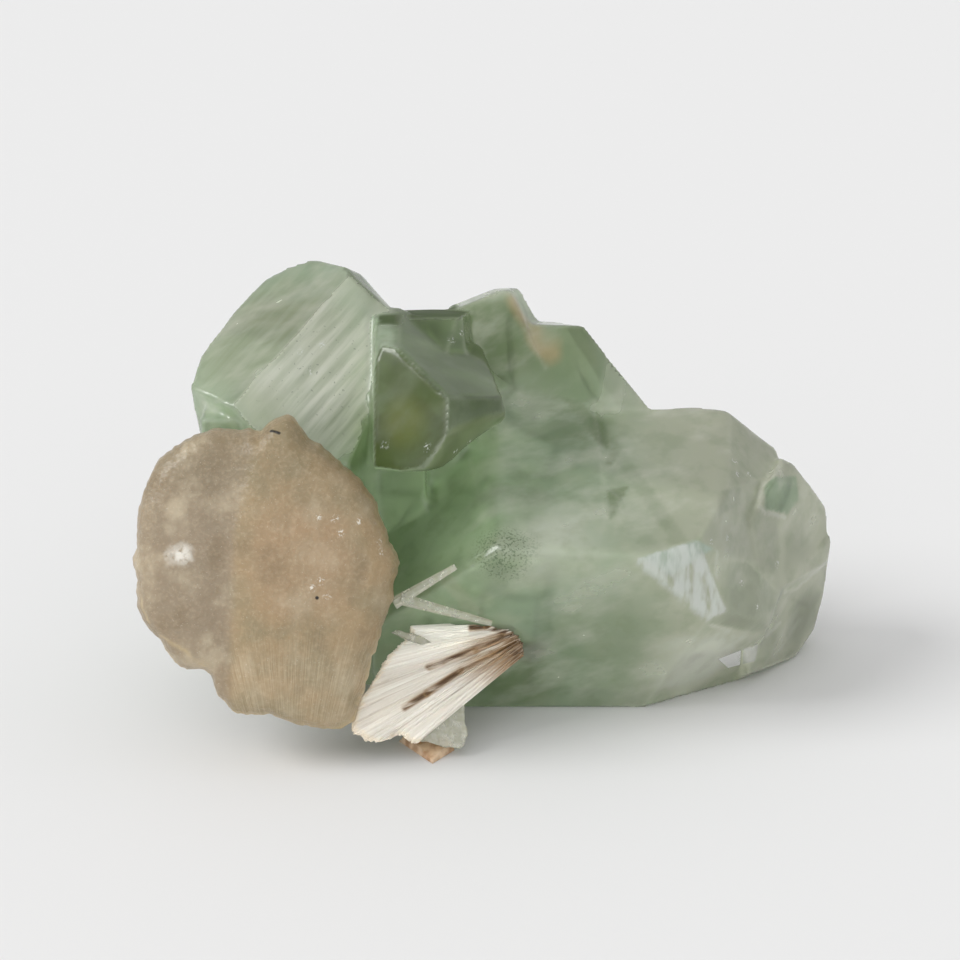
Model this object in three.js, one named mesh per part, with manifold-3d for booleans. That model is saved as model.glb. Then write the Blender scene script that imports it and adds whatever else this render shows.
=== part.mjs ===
// Apophyllite specimen: a cluster of green apophyllite crystals that carries a peach stilbite sheaf
// and a white scolecite spray, with two clear needles above the spray and a tan splinter under it.
// Millimetres, +Z up, -Y towards the viewer, +X along the cluster.
// The origin is on the resting plane, under the middle of the specimen.
import * as THREE from "three";
import { ConvexGeometry } from "three/addons/geometries/ConvexGeometry.js";
import { mergeVertices } from "three/addons/utils/BufferGeometryUtils.js";
import Module from "manifold-3d";

const wasm = await Module();
wasm.setup();

// Driving dimensions. A crystal block is a centre and the flat faces around it:
// each face is [heading, tilt, distance], in degrees from +X, degrees above level, and mm from the centre.
const MAIN_CRYSTAL = {
  centre: [18, 2, 16],
  faces: {
    lowerFront: [-90, -20, 10],
    upperFront: [-88, 67, 10],
    corner: [-69, 1, 11.5],
    end: [-33, 14, 11.3],
    lowEnd: [-58, -30, 11.7],
    topRight: [-27, 40, 13.5],
    crown: [69, 67, 18.3],
    right: [5, 10, 18.5],
    hollow: [-147, 43, 19.2],
    back: [95, 15, 13],
    left: [180, 0, 30],
    base: [0, -90, 16],
    crownRight: [26, 50, 19.7],
    lowRight: [-14, -18, 16.2],
    backLow: [80, -30, 17],
  },
};
const UPPER_TERRACE = {
  centre: [33, 10, 18],
  faces: {
    end: [-39, 10, 4],
    pane: [-31, 29, 5.2],
    crown: [60, 60, 6.7],
    rightTop: [20, 38, 6.4],
    right: [20, 0, 8],
    low: [-39, -50, 7.9],
    riserTop: [169, 29, 2.5],
    riserLow: [-176, -11, 2.7],
    riserFoot: [-139, -61, 7.3],
    back: [100, 0, 8],
  },
};
const LOWER_TERRACE = {
  centre: [30, 8, 10],
  faces: {
    end: [-38, -8, 5.6],
    low: [-50, -55, 9.6],
    right: [12, 0, 11.8],
    rightLow: [10, -12, 12],
    foot: [5, -48, 12.4],
    top: [-150, 72, 0.8],
    back: [100, 0, 8],
    left: [180, 0, -0.5],
    base: [0, -90, 10],
  },
};
const SHOULDER = {
  centre: [6, 2, 20],
  faces: {
    upperFront: [-82, 66, 7.2],
    front: [-90, -20, 11.2],
    left: [-147, 43, 9.1],
    bevel: [-15, 35, 10.2],
    right: [-15, 1, 9.4],
    back: [95, 5, 13.5],
    base: [0, -90, 20],
    farLeft: [180, 0, 16],
    backRight: [45, 20, 18.6],
  },
};
const SHOULDER_STEP = {
  centre: [6, 2, 20],
  faces: {
    upperFront: [-85, 66, 7],
    front: [-90, -20, 11.2],
    notch: [40, 20, 5.8],
    bevel: [-15, 30, 11.4],
    right: [-15, 1, 10.8],
    base: [0, -90, 20],
    left: [180, 0, 4],
    back: [90, 0, 8],
  },
};
const PRISM_CRYSTAL = {
  centre: [-20, 8, 38],
  faces: {
    lens: [-124, 59, 4.6],
    striated: [-67, 36, 4.6],
    under: [-39, -5, 10.3],
    foot: [-136, -23, 12.2],
    rimLow: [172, 3, 10.7],
    rimMiddle: [163, 22, 9.5],
    rimHigh: [158, 32, 9.5],
    crownLeft: [139, 52, 10.5],
    crown: [49, 65, 11.2],
    end: [2, 48, 10.3],
    back: [90, 10, 9],
    base: [-30, -70, 10],
    backLow: [110, -35, 12.5],
    backRight: [45, 5, 10.5],
  },
};
const HEEL_CRYSTAL = {
  centre: [-27, 2, 30],
  faces: {
    left: [180, 0, 3.4],
    bevel: [160, 40, 4.6],
    top: [-90, 80, 4.6],
    front: [-95, 0, 4],
    right: [0, 0, 4.5],
    back: [90, 0, 6],
    under: [-20, -60, 8],
  },
};
const OLIVE_CRYSTAL = {
  centre: [-5, 4, 36],
  faces: {
    leftFront: [-118, 26, 6.8],
    rightFront: [-35, 16, 6.4],
    lowFront: [-37, -20, 7.8],
    roof: [-15, 59, 3.2],
    crest: [-100, 80, 6],
    under: [-100, -75, 9],
    underRight: [-14, -58, 7.1],
    left: [180, 0, 6.6],
    back: [90, 20, 9],
    rightEnd: [10, 10, 6.9],
  },
};
const NOTCH_CRYSTAL = {
  centre: [-6, 10, 38],
  faces: {
    front: [-76, 56, 3.6],
    lowFront: [-90, 0, 5],
    top: [90, 80, 4.1],
    left: [180, 10, 5.5],
    rightFront: [-34, 28, 4.3],
    right: [-8, 12, 4.6],
    back: [90, 10, 9],
    under: [0, -90, 12],
  },
};
const RIDGE_CRYSTAL = {
  centre: [3, 16, 38],
  faces: {
    front: [-75, 30, 0.6],
    band: [-125, 9, 3.2],
    right: [-11, 31, 2.4],
    topLeft: [160, 68, 5.2],
    top: [90, 80, 5.3],
    lowFront: [-90, 0, 6],
    back: [100, -8, 5.5],
    left: [180, 10, 7],
    under: [0, -90, 16],
  },
};
const BACK_CRYSTAL = {
  centre: [11, 16, 33],
  faces: {
    front: [-91, 42, 2.3],
    lowFront: [-90, 0, 5],
    right: [30, 21, 3.9],
    rightLow: [12, 0, 7],
    top: [80, 78, 6.1],
    left: [180, 0, 8],
    back: [75, -12, 6],
    under: [0, -90, 20],
  },
};
const REAR_RIGHT = {
  centre: [16, 12, 14],
  faces: {
    end: [75, 12, 10],
    bevel: [40, 30, 12],
    side: [15, 0, 14],
    upper: [85, 55, 11],
    sideLeft: [165, 5, 10],
    lower: [80, -40, 13],
    front: [-90, 0, 0],
    base: [0, -90, 14],
  },
};
const REAR_MIDDLE = {
  centre: [-4, 12, 24],
  faces: {
    end: [100, 15, 9.5],
    bevelLeft: [150, 25, 9],
    bevelRight: [55, 30, 8.5],
    upper: [95, 60, 10.5],
    under: [100, -50, 10],
    front: [-90, 0, 0],
  },
};
const REAR_LEFT = {
  centre: [-18, 12, 14],
  faces: {
    end: [140, 5, 10],
    side: [178, 0, 11],
    top: [0, 90, 23],
    upper: [150, 55, 13],
    sideBack: [95, 0, 8],
    front: [-110, 0, 6],
    right: [0, 0, 12],
    base: [0, -90, 14],
  },
};
const SEAT_CRYSTAL = {
  centre: [-21, 0, 19],
  faces: {
    front: [-92, 14, 8],
    left: [-165, 0, 6.5],
    right: [-20, 0, 7.5],
    top: [-90, 60, 11],
    under: [-70, -45, 9],
    back: [90, 0, 6],
    base: [0, -90, 12],
  },
};
const HOLLOW_CRYSTAL = {
  centre: [-10, 8, 14],
  faces: {
    front: [-100, 5, 4],
    left: [170, 15, 14],
    right: [0, 0, 10],
    back: [90, 12, 10],
    top: [-90, 80, 15.5],
    base: [0, -90, 14],
  },
};
const GAP = 0.3;

// The stilbite sheaf: a leaning, slightly domed plate with this outline, across and up from its middle.
const SHEAF_MIDDLE = [-22.8, -12.5, 20.8];
const SHEAF_LEAN = 14;
const SHEAF_OUTLINE = [
  [-6.2, 15],
  [-3, 15.1],
  [-0.1, 15.2],
  [1.7, 16.5],
  [3, 16.5],
  [4.7, 14],
  [6, 13.3],
  [8.7, 10.9],
  [11.2, 8.5],
  [13.3, 3.7],
  [14.2, 0.5],
  [12.7, -5.4],
  [11.1, -10.7],
  [8.9, -16.7],
  [3.6, -16.6],
  [0.4, -15.5],
  [-3.4, -15.4],
  [-5.5, -12.9],
  [-6, -11],
  [-8.6, -10.5],
  [-11.2, -7.5],
  [-13.3, -4.3],
  [-13.8, 1.1],
  [-13.1, 7.5],
  [-10.4, 12.2],
];
const SHEAF_SAMPLES = 144;
const SHEAF_RINGS = [1, 0.985, 0.955, 0.91, 0.83, 0.7, 0.56, 0.42, 0.28, 0.14];
const SHEAF_RADIUS = 15;
const SHEAF_FRONT = 4.6;
const SHEAF_BACK = 5.4;
const SHEAF_DOME = 0.3;
const SHEAF_RIM = 2.6;
const SCALLOP_DEPTH = 0.32;
const SCALLOP_COUNT = 37;
const SCALLOP_SWELLS = 5;
const SCALLOP_FADE = 12;
const SPLIT = { across: -3.4, width: 2.2, depth: 0.6 };

// The scolecite spray: flat blades from one apex to this line of tips.
const SPRAY_APEX = [4.6, -6.6, 10];
const SPRAY_TIPS = [
  [-4.3, -11, 13.8],
  [-8, -13, 11.2],
  [-11.2, -15, 8],
  [-13.9, -16.5, 4.2],
  [-10.2, -16.5, 2.8],
  [-7, -16, 3.7],
  [-3.8, -16, 1.6],
  [-1.6, -15, 1.4],
];
const BLADE_COUNT = 34;
const BLADE_WIDTH = { apex: 0.5, tip: 1.05 };
const BLADE_THICKNESS = { apex: 0.8, tip: 0.5 };
const BLADE_STAGGER = 0.12;

// The two loose needles: base, tip and half widths.
const NEEDLES = [
  { base: [-9.2, -12.2, 16.8], tip: [-2.6, -10.6, 20.4] },
  { base: [-8.6, -12.2, 17.4], tip: [1.2, -9.6, 13.4] },
];
const NEEDLE_HALF_WIDTH = { base: 0.7, tip: 0.35 };

// The tan splinter under the spray: a thin wedge with its point to the front.
const SPLINTER = {
  centre: [-5.4, -14.2, 0.5],
  faces: {
    top: [-110, 74, 0.45],
    base: [0, -90, 0.5],
    frontLeft: [-145, 12, 1.05],
    frontRight: [-36, 8, 1.6],
    back: [71, 15, 1.5],
  },
};

// Corners of a bar's cross-section, in half widths: a lozenge with two more corners in front.
const BAR_SECTION = [
  [-1, 0],
  [1, 0],
  [0, -1],
  [0, 1],
  [-0.7, 0.7],
  [0.7, 0.7],
];

// Corners this close to a face lie on it, and corners this close together are one.
const ON_FACE = 1e-6;
const SAME_CORNER = 1e-4;

// The unit vector that points along a compass heading and a tilt, both in degrees.
function direction(heading, tilt) {
  const h = THREE.MathUtils.degToRad(heading);
  const t = THREE.MathUtils.degToRad(tilt);
  return new THREE.Vector3(Math.cos(h) * Math.cos(t), Math.sin(h) * Math.cos(t), Math.sin(t));
}

// The convex solid that lies behind every face of a crystal block, each face moved out by a margin.
function crystal({ centre, faces }, margin = 0) {
  const middle = new THREE.Vector3(...centre);
  const planes = Object.values(faces).map(([heading, tilt, distance]) => {
    const normal = direction(heading, tilt);
    return new THREE.Plane(normal, -normal.dot(middle) - distance - margin);
  });
  const corners = [];
  const inside = (p) => planes.every((plane) => plane.distanceToPoint(p) < ON_FACE);
  for (let i = 0; i < planes.length; i++) {
    for (let j = i + 1; j < planes.length; j++) {
      for (let k = j + 1; k < planes.length; k++) {
        const corner = meeting(planes[i], planes[j], planes[k]);
        if (corner && inside(corner)) corners.push(corner);
      }
    }
  }
  return solid(new ConvexGeometry(corners));
}

// The point where three planes meet, or null where two of them are parallel.
function meeting(a, b, c) {
  const rows = new THREE.Matrix3().set(...a.normal.toArray(), ...b.normal.toArray(), ...c.normal.toArray());
  if (Math.abs(rows.determinant()) < ON_FACE) return null;
  return new THREE.Vector3(-a.constant, -b.constant, -c.constant).applyMatrix3(rows.invert());
}

// A three.js geometry as a solid that can be joined and cut.
function solid(geometry) {
  geometry.deleteAttribute("normal");
  geometry.deleteAttribute("uv");
  const merged = mergeVertices(geometry, SAME_CORNER);
  return new wasm.Manifold(
    new wasm.Mesh({
      numProp: 3,
      vertProperties: new Float32Array(merged.attributes.position.array),
      triVerts: new Uint32Array(merged.index.array),
    }),
  );
}

function join(solids) {
  return solids.reduce((whole, part) => whole.add(part));
}

// The plate of the sheaf: rings of its scalloped outline, drawn in over a round rim to a domed middle.
function sheaf(margin = 0) {
  const outline = new THREE.CatmullRomCurve3(
    SHEAF_OUTLINE.map(([across, up]) => new THREE.Vector3(across, up, 0)).reverse(),
    true,
    "centripetal",
  );
  const rim = outline.getSpacedPoints(SHEAF_SAMPLES).slice(0, SHEAF_SAMPLES);
  const positions = [];
  const triangles = [];
  const bulge = (spot, inset, depth) => {
    const round = Math.sqrt(1 - (1 - Math.min(inset / SHEAF_RIM, 1)) ** 2);
    const dome = 1 - SHEAF_DOME * (spot.length() / SHEAF_RADIUS) ** 2;
    const split = SPLIT.depth * Math.exp(-(((spot.x - SPLIT.across) / SPLIT.width) ** 2));
    return round * (depth * dome + margin - split);
  };
  const ringPoints = (ring, side) => {
    rim.forEach((point, index) => {
      const turn = (Math.PI * index) / SHEAF_SAMPLES;
      const notch = (1 - Math.abs(Math.sin(SCALLOP_COUNT * turn))) * Math.sin(SCALLOP_SWELLS * turn) ** 2;
      const reach = point.length() + margin - SCALLOP_DEPTH * notch * ring ** SCALLOP_FADE;
      const spot = point.clone().setLength(reach * ring);
      const depth = side > 0 ? SHEAF_FRONT : SHEAF_BACK;
      positions.push(spot.x, spot.y, side * bulge(spot, reach * (1 - ring), depth));
    });
  };
  SHEAF_RINGS.forEach((ring) => ringPoints(ring, 1));
  SHEAF_RINGS.slice(1).forEach((ring) => ringPoints(ring, -1));
  const middle = new THREE.Vector3();
  const frontMiddle = positions.length / 3;
  positions.push(0, 0, bulge(middle, SHEAF_RADIUS, SHEAF_FRONT));
  const backMiddle = frontMiddle + 1;
  positions.push(0, 0, -bulge(middle, SHEAF_RADIUS, SHEAF_BACK));
  const band = (outer, inner, side) => {
    for (let i = 0; i < SHEAF_SAMPLES; i++) {
      const j = (i + 1) % SHEAF_SAMPLES;
      const quad = [outer + i, outer + j, inner + j, inner + i];
      if (side < 0) quad.reverse();
      triangles.push(quad[0], quad[1], quad[2], quad[0], quad[2], quad[3]);
    }
  };
  const cap = (inner, hub, side) => {
    for (let i = 0; i < SHEAF_SAMPLES; i++) {
      const j = (i + 1) % SHEAF_SAMPLES;
      triangles.push(...(side > 0 ? [inner + i, inner + j, hub] : [inner + j, inner + i, hub]));
    }
  };
  const ringCount = SHEAF_RINGS.length;
  for (let ring = 1; ring < ringCount; ring++) {
    band((ring - 1) * SHEAF_SAMPLES, ring * SHEAF_SAMPLES, 1);
    const outerBack = ring === 1 ? 0 : (ringCount + ring - 2) * SHEAF_SAMPLES;
    band(outerBack, (ringCount + ring - 1) * SHEAF_SAMPLES, -1);
  }
  cap((ringCount - 1) * SHEAF_SAMPLES, frontMiddle, 1);
  cap((2 * ringCount - 2) * SHEAF_SAMPLES, backMiddle, -1);
  const geometry = new THREE.BufferGeometry();
  geometry.setAttribute("position", new THREE.Float32BufferAttribute(positions, 3));
  geometry.setIndex(triangles);
  const facing = direction(-90, SHEAF_LEAN);
  const up = direction(90, 90 - SHEAF_LEAN);
  const place = new THREE.Matrix4().makeBasis(new THREE.Vector3(1, 0, 0), up, facing);
  geometry.applyMatrix4(place.setPosition(...SHEAF_MIDDLE));
  return solid(geometry);
}

// A tapered bar between two rectangles, given by their middles, sides and half sizes.
function bar(from, to, side, face, fromSize, toSize) {
  const corners = [];
  const ends = [
    [from, fromSize],
    [to, toSize],
  ];
  for (const [middle, [halfSide, halfFace]] of ends) {
    for (const [s, f] of BAR_SECTION) {
      corners.push(middle.clone().addScaledVector(side, s * halfSide).addScaledVector(face, f * halfFace));
    }
  }
  return solid(new ConvexGeometry(corners));
}

// The blades of the spray, staggered to and fro so that each one shows.
function spray() {
  const apex = new THREE.Vector3(...SPRAY_APEX);
  const tips = new THREE.CatmullRomCurve3(SPRAY_TIPS.map((tip) => new THREE.Vector3(...tip)));
  const blades = [];
  for (let i = 0; i < BLADE_COUNT; i++) {
    const tip = tips.getPointAt(i / (BLADE_COUNT - 1));
    const along = tip.clone().sub(apex).normalize();
    const side = tips.getTangentAt(i / (BLADE_COUNT - 1));
    side.addScaledVector(along, -side.dot(along)).normalize();
    const face = new THREE.Vector3().crossVectors(along, side);
    const shift = (i % 2 ? 1 : -1) * BLADE_STAGGER;
    blades.push(
      bar(
        apex.clone().addScaledVector(face, shift),
        tip.addScaledVector(face, shift),
        side,
        face,
        [BLADE_WIDTH.apex, BLADE_THICKNESS.apex],
        [BLADE_WIDTH.tip, BLADE_THICKNESS.tip],
      ),
    );
  }
  return join(blades);
}

function needle({ base, tip }) {
  const from = new THREE.Vector3(...base);
  const to = new THREE.Vector3(...tip);
  const along = to.clone().sub(from).normalize();
  const face = new THREE.Vector3(0, -1, 0).addScaledVector(along, along.y).normalize();
  const side = new THREE.Vector3().crossVectors(along, face);
  const { base: wide, tip: narrow } = NEEDLE_HALF_WIDTH;
  return bar(from, to, side, face, [wide, wide], [narrow, narrow]);
}

// A joined solid as a named mesh.
function piece(name, body, material) {
  const { vertProperties, triVerts } = body.getMesh();
  const geometry = new THREE.BufferGeometry();
  geometry.setAttribute("position", new THREE.BufferAttribute(vertProperties, 3));
  geometry.setIndex(new THREE.BufferAttribute(triVerts, 1));
  const mesh = new THREE.Mesh(geometry, material);
  mesh.name = name;
  return mesh;
}

const green = new THREE.MeshStandardMaterial({ color: 0x8fa88c, roughness: 0.12, metalness: 0 });
const peach = new THREE.MeshStandardMaterial({ color: 0xc6a284, roughness: 0.45, metalness: 0 });
const white = new THREE.MeshStandardMaterial({ color: 0xeeeae0, roughness: 0.4, metalness: 0 });
const clear = new THREE.MeshStandardMaterial({ color: 0xe6ece2, roughness: 0.25, metalness: 0 });
const tan = new THREE.MeshStandardMaterial({ color: 0xb98f6a, roughness: 0.7, metalness: 0 });

const BLOCKS = [
  MAIN_CRYSTAL,
  UPPER_TERRACE,
  LOWER_TERRACE,
  SHOULDER,
  SHOULDER_STEP,
  PRISM_CRYSTAL,
  HEEL_CRYSTAL,
  OLIVE_CRYSTAL,
  NOTCH_CRYSTAL,
  RIDGE_CRYSTAL,
  BACK_CRYSTAL,
  REAR_RIGHT,
  REAR_MIDDLE,
  REAR_LEFT,
  SEAT_CRYSTAL,
  HOLLOW_CRYSTAL,
];
const cluster = join(BLOCKS.map((block) => crystal(block)));
const clusterRoom = join(BLOCKS.map((block) => crystal(block, GAP)));
const sheafBody = sheaf().subtract(clusterRoom);
const sprayBody = spray().subtract(clusterRoom).subtract(sheaf(GAP));
const needleBody = join(NEEDLES.map(needle)).subtract(clusterRoom).subtract(sheaf(GAP));
const splinterBody = crystal(SPLINTER).subtract(sprayBody.translate([0, 0, -GAP])).subtract(clusterRoom);

const specimen = new THREE.Group();
specimen.add(piece("apophyllite_cluster", cluster, green));
specimen.add(piece("stilbite_sheaf", sheafBody, peach));
specimen.add(piece("scolecite_spray", sprayBody, white));
specimen.add(piece("scolecite_needles", needleBody, clear));
specimen.add(piece("tan_splinter", splinterBody, tan));

const box = new THREE.Box3().setFromObject(specimen);
const middle = box.getCenter(new THREE.Vector3());
specimen.position.set(-middle.x, -middle.y, -box.min.z);

export default specimen;
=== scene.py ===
# %% [markdown]
# # An apophyllite specimen
# The real thing is a cluster of cloudy green apophyllite crystals. A peach sheaf of stilbite and a white fan of
# scolecite needles grow on its front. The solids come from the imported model, at their real size, and this lesson
# dresses them: each cell makes one piece or one finish, and prints what it made.

# %% Load the frame
import math

import bmesh
import bpy
import numpy as np
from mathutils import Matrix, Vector, noise
from mathutils.bvhtree import BVHTree
from mathutils.geometry import intersect_line_plane
from mathutils.kdtree import KDTree


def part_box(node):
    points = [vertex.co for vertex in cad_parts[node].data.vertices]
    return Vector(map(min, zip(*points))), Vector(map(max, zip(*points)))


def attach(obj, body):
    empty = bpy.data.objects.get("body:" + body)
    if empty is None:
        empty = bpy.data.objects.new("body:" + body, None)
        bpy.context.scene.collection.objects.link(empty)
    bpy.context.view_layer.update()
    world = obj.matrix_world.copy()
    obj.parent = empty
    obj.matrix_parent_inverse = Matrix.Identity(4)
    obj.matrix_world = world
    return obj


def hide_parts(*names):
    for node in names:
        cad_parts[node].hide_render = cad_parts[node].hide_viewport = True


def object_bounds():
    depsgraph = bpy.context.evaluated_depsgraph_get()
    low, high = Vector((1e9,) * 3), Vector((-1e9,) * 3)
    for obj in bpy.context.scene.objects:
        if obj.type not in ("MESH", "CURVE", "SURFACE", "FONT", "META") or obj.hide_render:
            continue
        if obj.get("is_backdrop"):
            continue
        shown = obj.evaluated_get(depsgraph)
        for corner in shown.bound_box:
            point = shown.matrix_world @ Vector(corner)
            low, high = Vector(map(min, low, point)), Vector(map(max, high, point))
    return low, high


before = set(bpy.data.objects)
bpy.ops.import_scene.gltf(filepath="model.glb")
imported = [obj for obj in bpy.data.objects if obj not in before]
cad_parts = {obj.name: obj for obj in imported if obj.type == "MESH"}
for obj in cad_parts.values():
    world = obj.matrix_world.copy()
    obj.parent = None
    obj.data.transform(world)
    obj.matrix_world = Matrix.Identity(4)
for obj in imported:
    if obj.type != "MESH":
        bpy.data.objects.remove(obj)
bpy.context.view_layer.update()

MM = 0.001
scene = bpy.context.scene

# %% [markdown]
# The camera comes first, because later cells place small marks by the pixel of the photograph that shows them.
# A long lens from 250 mm away, 20 degrees above level, gives the photograph's view. `sight` is the ray through a
# pixel, and `spot` is the point where that ray meets a solid, so a mark always lies on what carries it.

# %% Camera and sight lines
PHOTO_SIDE = 960
LENS = 85
SENSOR = 36
VIEW_TARGET = Vector((-2.3, -3.32, 26.4)) * MM
VIEW_DISTANCE = 250 * MM
VIEW_ELEVATION = math.radians(20)

ahead = Vector((0, math.cos(VIEW_ELEVATION), -math.sin(VIEW_ELEVATION)))
upward = Vector((0, math.sin(VIEW_ELEVATION), math.cos(VIEW_ELEVATION)))
eye = VIEW_TARGET - ahead * VIEW_DISTANCE
camera = bpy.data.objects.new("camera", bpy.data.cameras.new("camera"))
camera.data.lens = LENS
camera.data.sensor_width = SENSOR
camera.data.clip_start = 10 * MM
camera.location = eye
camera.rotation_euler = (math.pi / 2 - VIEW_ELEVATION, 0, 0)
scene.collection.objects.link(camera)
scene.camera = camera


def sight(across, down):
    """The direction from the camera through a pixel of the photograph."""
    focal = PHOTO_SIDE * LENS / SENSOR
    middle = PHOTO_SIDE / 2
    ray = ahead * focal + Vector((1, 0, 0)) * (across - middle) + upward * (middle - down)
    return ray.normalized()


def solid_tree(node):
    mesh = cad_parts[node].data
    points = [vertex.co for vertex in mesh.vertices]
    return BVHTree.FromPolygons(points, [polygon.vertices for polygon in mesh.polygons])


cluster_tree = solid_tree("apophyllite_cluster")
sheaf_tree = solid_tree("stilbite_sheaf")


def spot(across, down, tree=cluster_tree):
    """The point, in mm, where the sight line through a pixel meets a solid."""
    point, _, _, _ = tree.ray_cast(eye, sight(across, down))
    return point / MM


print("camera at", [round(side / MM) for side in eye], "mm")

# %% [markdown]
# A finish is a tree of shader nodes, and so is a Geometry Nodes modifier. `Graph` makes any node from its type, its
# settings and its inputs. `Field` wraps a socket, so that sums such as `1 - mask` can be written as plain maths.

# %% Nodes as expressions
class Field:
    """A value that changes over a surface: the output of a node, ready for sums."""

    def __init__(self, graph, socket):
        self.graph = graph
        self.socket = socket

    def math(self, operation, first, second):
        return self.graph.node("ShaderNodeMath", {"operation": operation}, {0: first, 1: second})

    def __add__(self, other):
        return self.math("ADD", self, other)

    def __sub__(self, other):
        return self.math("SUBTRACT", self, other)

    def __rsub__(self, other):
        return self.math("SUBTRACT", other, self)

    def __mul__(self, other):
        return self.math("MULTIPLY", self, other)

    def __truediv__(self, other):
        return self.math("DIVIDE", self, other)

    __radd__ = __add__
    __rmul__ = __mul__

    def smooth(self, low, high):
        """0 at low and 1 at high, with a soft step between; low may be the larger."""
        limits = {"Value": self, "From Min": low, "From Max": high}
        return self.graph.node("ShaderNodeMapRange", {"interpolation_type": "SMOOTHSTEP"}, limits)

    def held(self):
        """The same value, held between 0 and 1."""
        return self.graph.node("ShaderNodeClamp", {}, {"Value": self})


class Graph:
    """A node tree that makes a node from its type, its settings and its inputs."""

    def __init__(self, tree):
        self.tree = tree

    def node(self, kind, settings, inputs, output=0):
        made = self.tree.nodes.new(kind)
        for name, value in settings.items():
            setattr(made, name, value)
        for name, value in inputs.items():
            if isinstance(value, Field):
                self.tree.links.new(value.socket, made.inputs[name])
            else:
                made.inputs[name].default_value = value
        return Field(self, made.outputs[output] if made.outputs else None)

    def vector(self, operation, first, second=(0, 0, 0), third=(0, 0, 0), output="Vector"):
        inputs = {0: first, 1: second, 2: third}
        return self.node("ShaderNodeVectorMath", {"operation": operation}, inputs, output)

    def distance(self, first, second):
        return self.vector("DISTANCE", first, second, output="Value")

    def dot(self, first, second):
        return self.vector("DOT_PRODUCT", first, second, output="Value")


def srgb(red, green, blue):
    """A colour as the eye reads it, 0 to 255, turned into the linear colour that shaders take."""
    parts = [part / 255 for part in (red, green, blue)]
    return (*[((part + 0.055) / 1.055) ** 2.4 for part in parts], 1)


# %% [markdown]
# Every finish here works in millimetres on Object coordinates, so a pattern has the size that it has on the real
# crystal. `near` gives a soft mask around a point. Its edge wanders with a noise, because nothing that grows has a
# ruled edge. `beside` and `facet` are for the few marks that are straight: a thin line, and a small face that
# catches the light.

# %% A finish in millimetres
WANDER = 1.6
WANDER_SCALE = 0.35
FACET_REACH = 8


class Finish(Graph):
    """A material with masks and noises on Object coordinates, in mm."""

    def __init__(self, name):
        self.material = bpy.data.materials.new(name)
        self.material.use_nodes = True
        super().__init__(self.material.node_tree)
        self.tree.nodes.clear()
        metres = self.node("ShaderNodeTexCoord", {}, {}, "Object")
        self.place = self.vector("MULTIPLY", metres, (1 / MM,) * 3)

    def wavy(self):
        """The place, moved up to WANDER mm by a slow noise."""
        slow = {"Vector": self.place, "Scale": WANDER_SCALE, "Detail": 3}
        drift = self.node("ShaderNodeTexNoise", {}, slow, "Color")
        centred = self.vector("SUBTRACT", drift, (0.5,) * 3)
        return self.vector("MULTIPLY_ADD", centred, (2 * WANDER,) * 3, self.place)

    def noise(self, scale, detail=2, axis=None, length=1):
        """A noise with about `scale` bumps per mm, which an axis draws out to `length` times their width."""
        where = self.place
        if axis is not None:
            where = self.vector("MULTIPLY_ADD", axis, self.dot(where, axis) * (1 / length - 1), where)
        return self.node("ShaderNodeTexNoise", {}, {"Vector": where, "Scale": scale, "Detail": detail})

    def near(self, point, inner, outer, wander=True):
        """1 within inner mm of a point, and 0 beyond outer mm."""
        return self.distance(self.wavy() if wander else self.place, point).smooth(outer, inner)

    def facet(self, pixels, soft):
        """1 inside a convex outline of pixels, given clockwise, on the side of the cluster that shows there."""
        middle = [sum(values) / len(pixels) for values in zip(*pixels)]
        mask = self.near(spot(*middle), FACET_REACH / 2, FACET_REACH, wander=False)
        from_eye = self.vector("SUBTRACT", self.place, eye / MM)
        for first, second in zip(pixels, pixels[1:] + pixels[:1]):
            inward = sight(*first).cross(sight(*second)).normalized()
            mask = mask * self.dot(from_eye, inward).smooth(-soft, soft)
        return mask

    def beside(self, start, end, inner, outer):
        """1 within inner mm of the straight line from start to end, and 0 beyond outer mm."""
        run = end - start
        share = self.dot(self.vector("SUBTRACT", self.place, start), run / run.length_squared).held()
        nearest = self.vector("MULTIPLY_ADD", run, share, start)
        return self.distance(self.place, nearest).smooth(outer, inner)

    def blend(self, share, first, second):
        """The first colour where share is 0, and the second where it is 1."""
        return self.node("ShaderNodeMix", {"data_type": "RGBA"}, {0: share, 6: first, 7: second}, 2)

    def tint(self, share, colour):
        """Mixes a colour into the finish's own, by a share from 0 to 1."""
        self.colour = self.blend(share, self.colour, colour)

    def attribute(self, name, output="Fac"):
        return self.node("ShaderNodeAttribute", {"attribute_name": name}, {}, output)

    def bump(self, height, depth):
        """A relief of up to depth mm, as a direction for Normal."""
        return self.node("ShaderNodeBump", {}, {"Height": height, "Distance": depth * MM})

    def surface(self, inputs, volume=None):
        """Ends the tree in one Principled surface, and a volume if there is one."""
        ends = {"Surface": self.node("ShaderNodeBsdfPrincipled", {"subsurface_method": "BURLEY"}, inputs)}
        if volume:
            ends["Volume"] = self.node("ShaderNodeVolumeAbsorption", {}, volume)
        self.node("ShaderNodeOutputMaterial", {}, ends)
        print("finish", self.material.name, "has", len(self.tree.nodes), "nodes")
        return self.material


# %% [markdown]
# Pieces start from a copy of their solid. The copy's loose triangles are welded and its flat faces made whole, and
# the finished piece rides on the one body and stands for its solid.

# %% From solid to piece
WELD = 0.002 * MM
FLAT = math.radians(0.5)
LEAST_WEAR = 0.01


def welded(node):
    """A copy of a solid, with its triangles joined and its flat faces made whole."""
    shape = bmesh.new()
    shape.from_mesh(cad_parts[node].data)
    bmesh.ops.remove_doubles(shape, verts=shape.verts, dist=WELD)
    bmesh.ops.dissolve_limit(shape, angle_limit=FLAT, verts=shape.verts, edges=shape.edges)
    return shape


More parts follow.
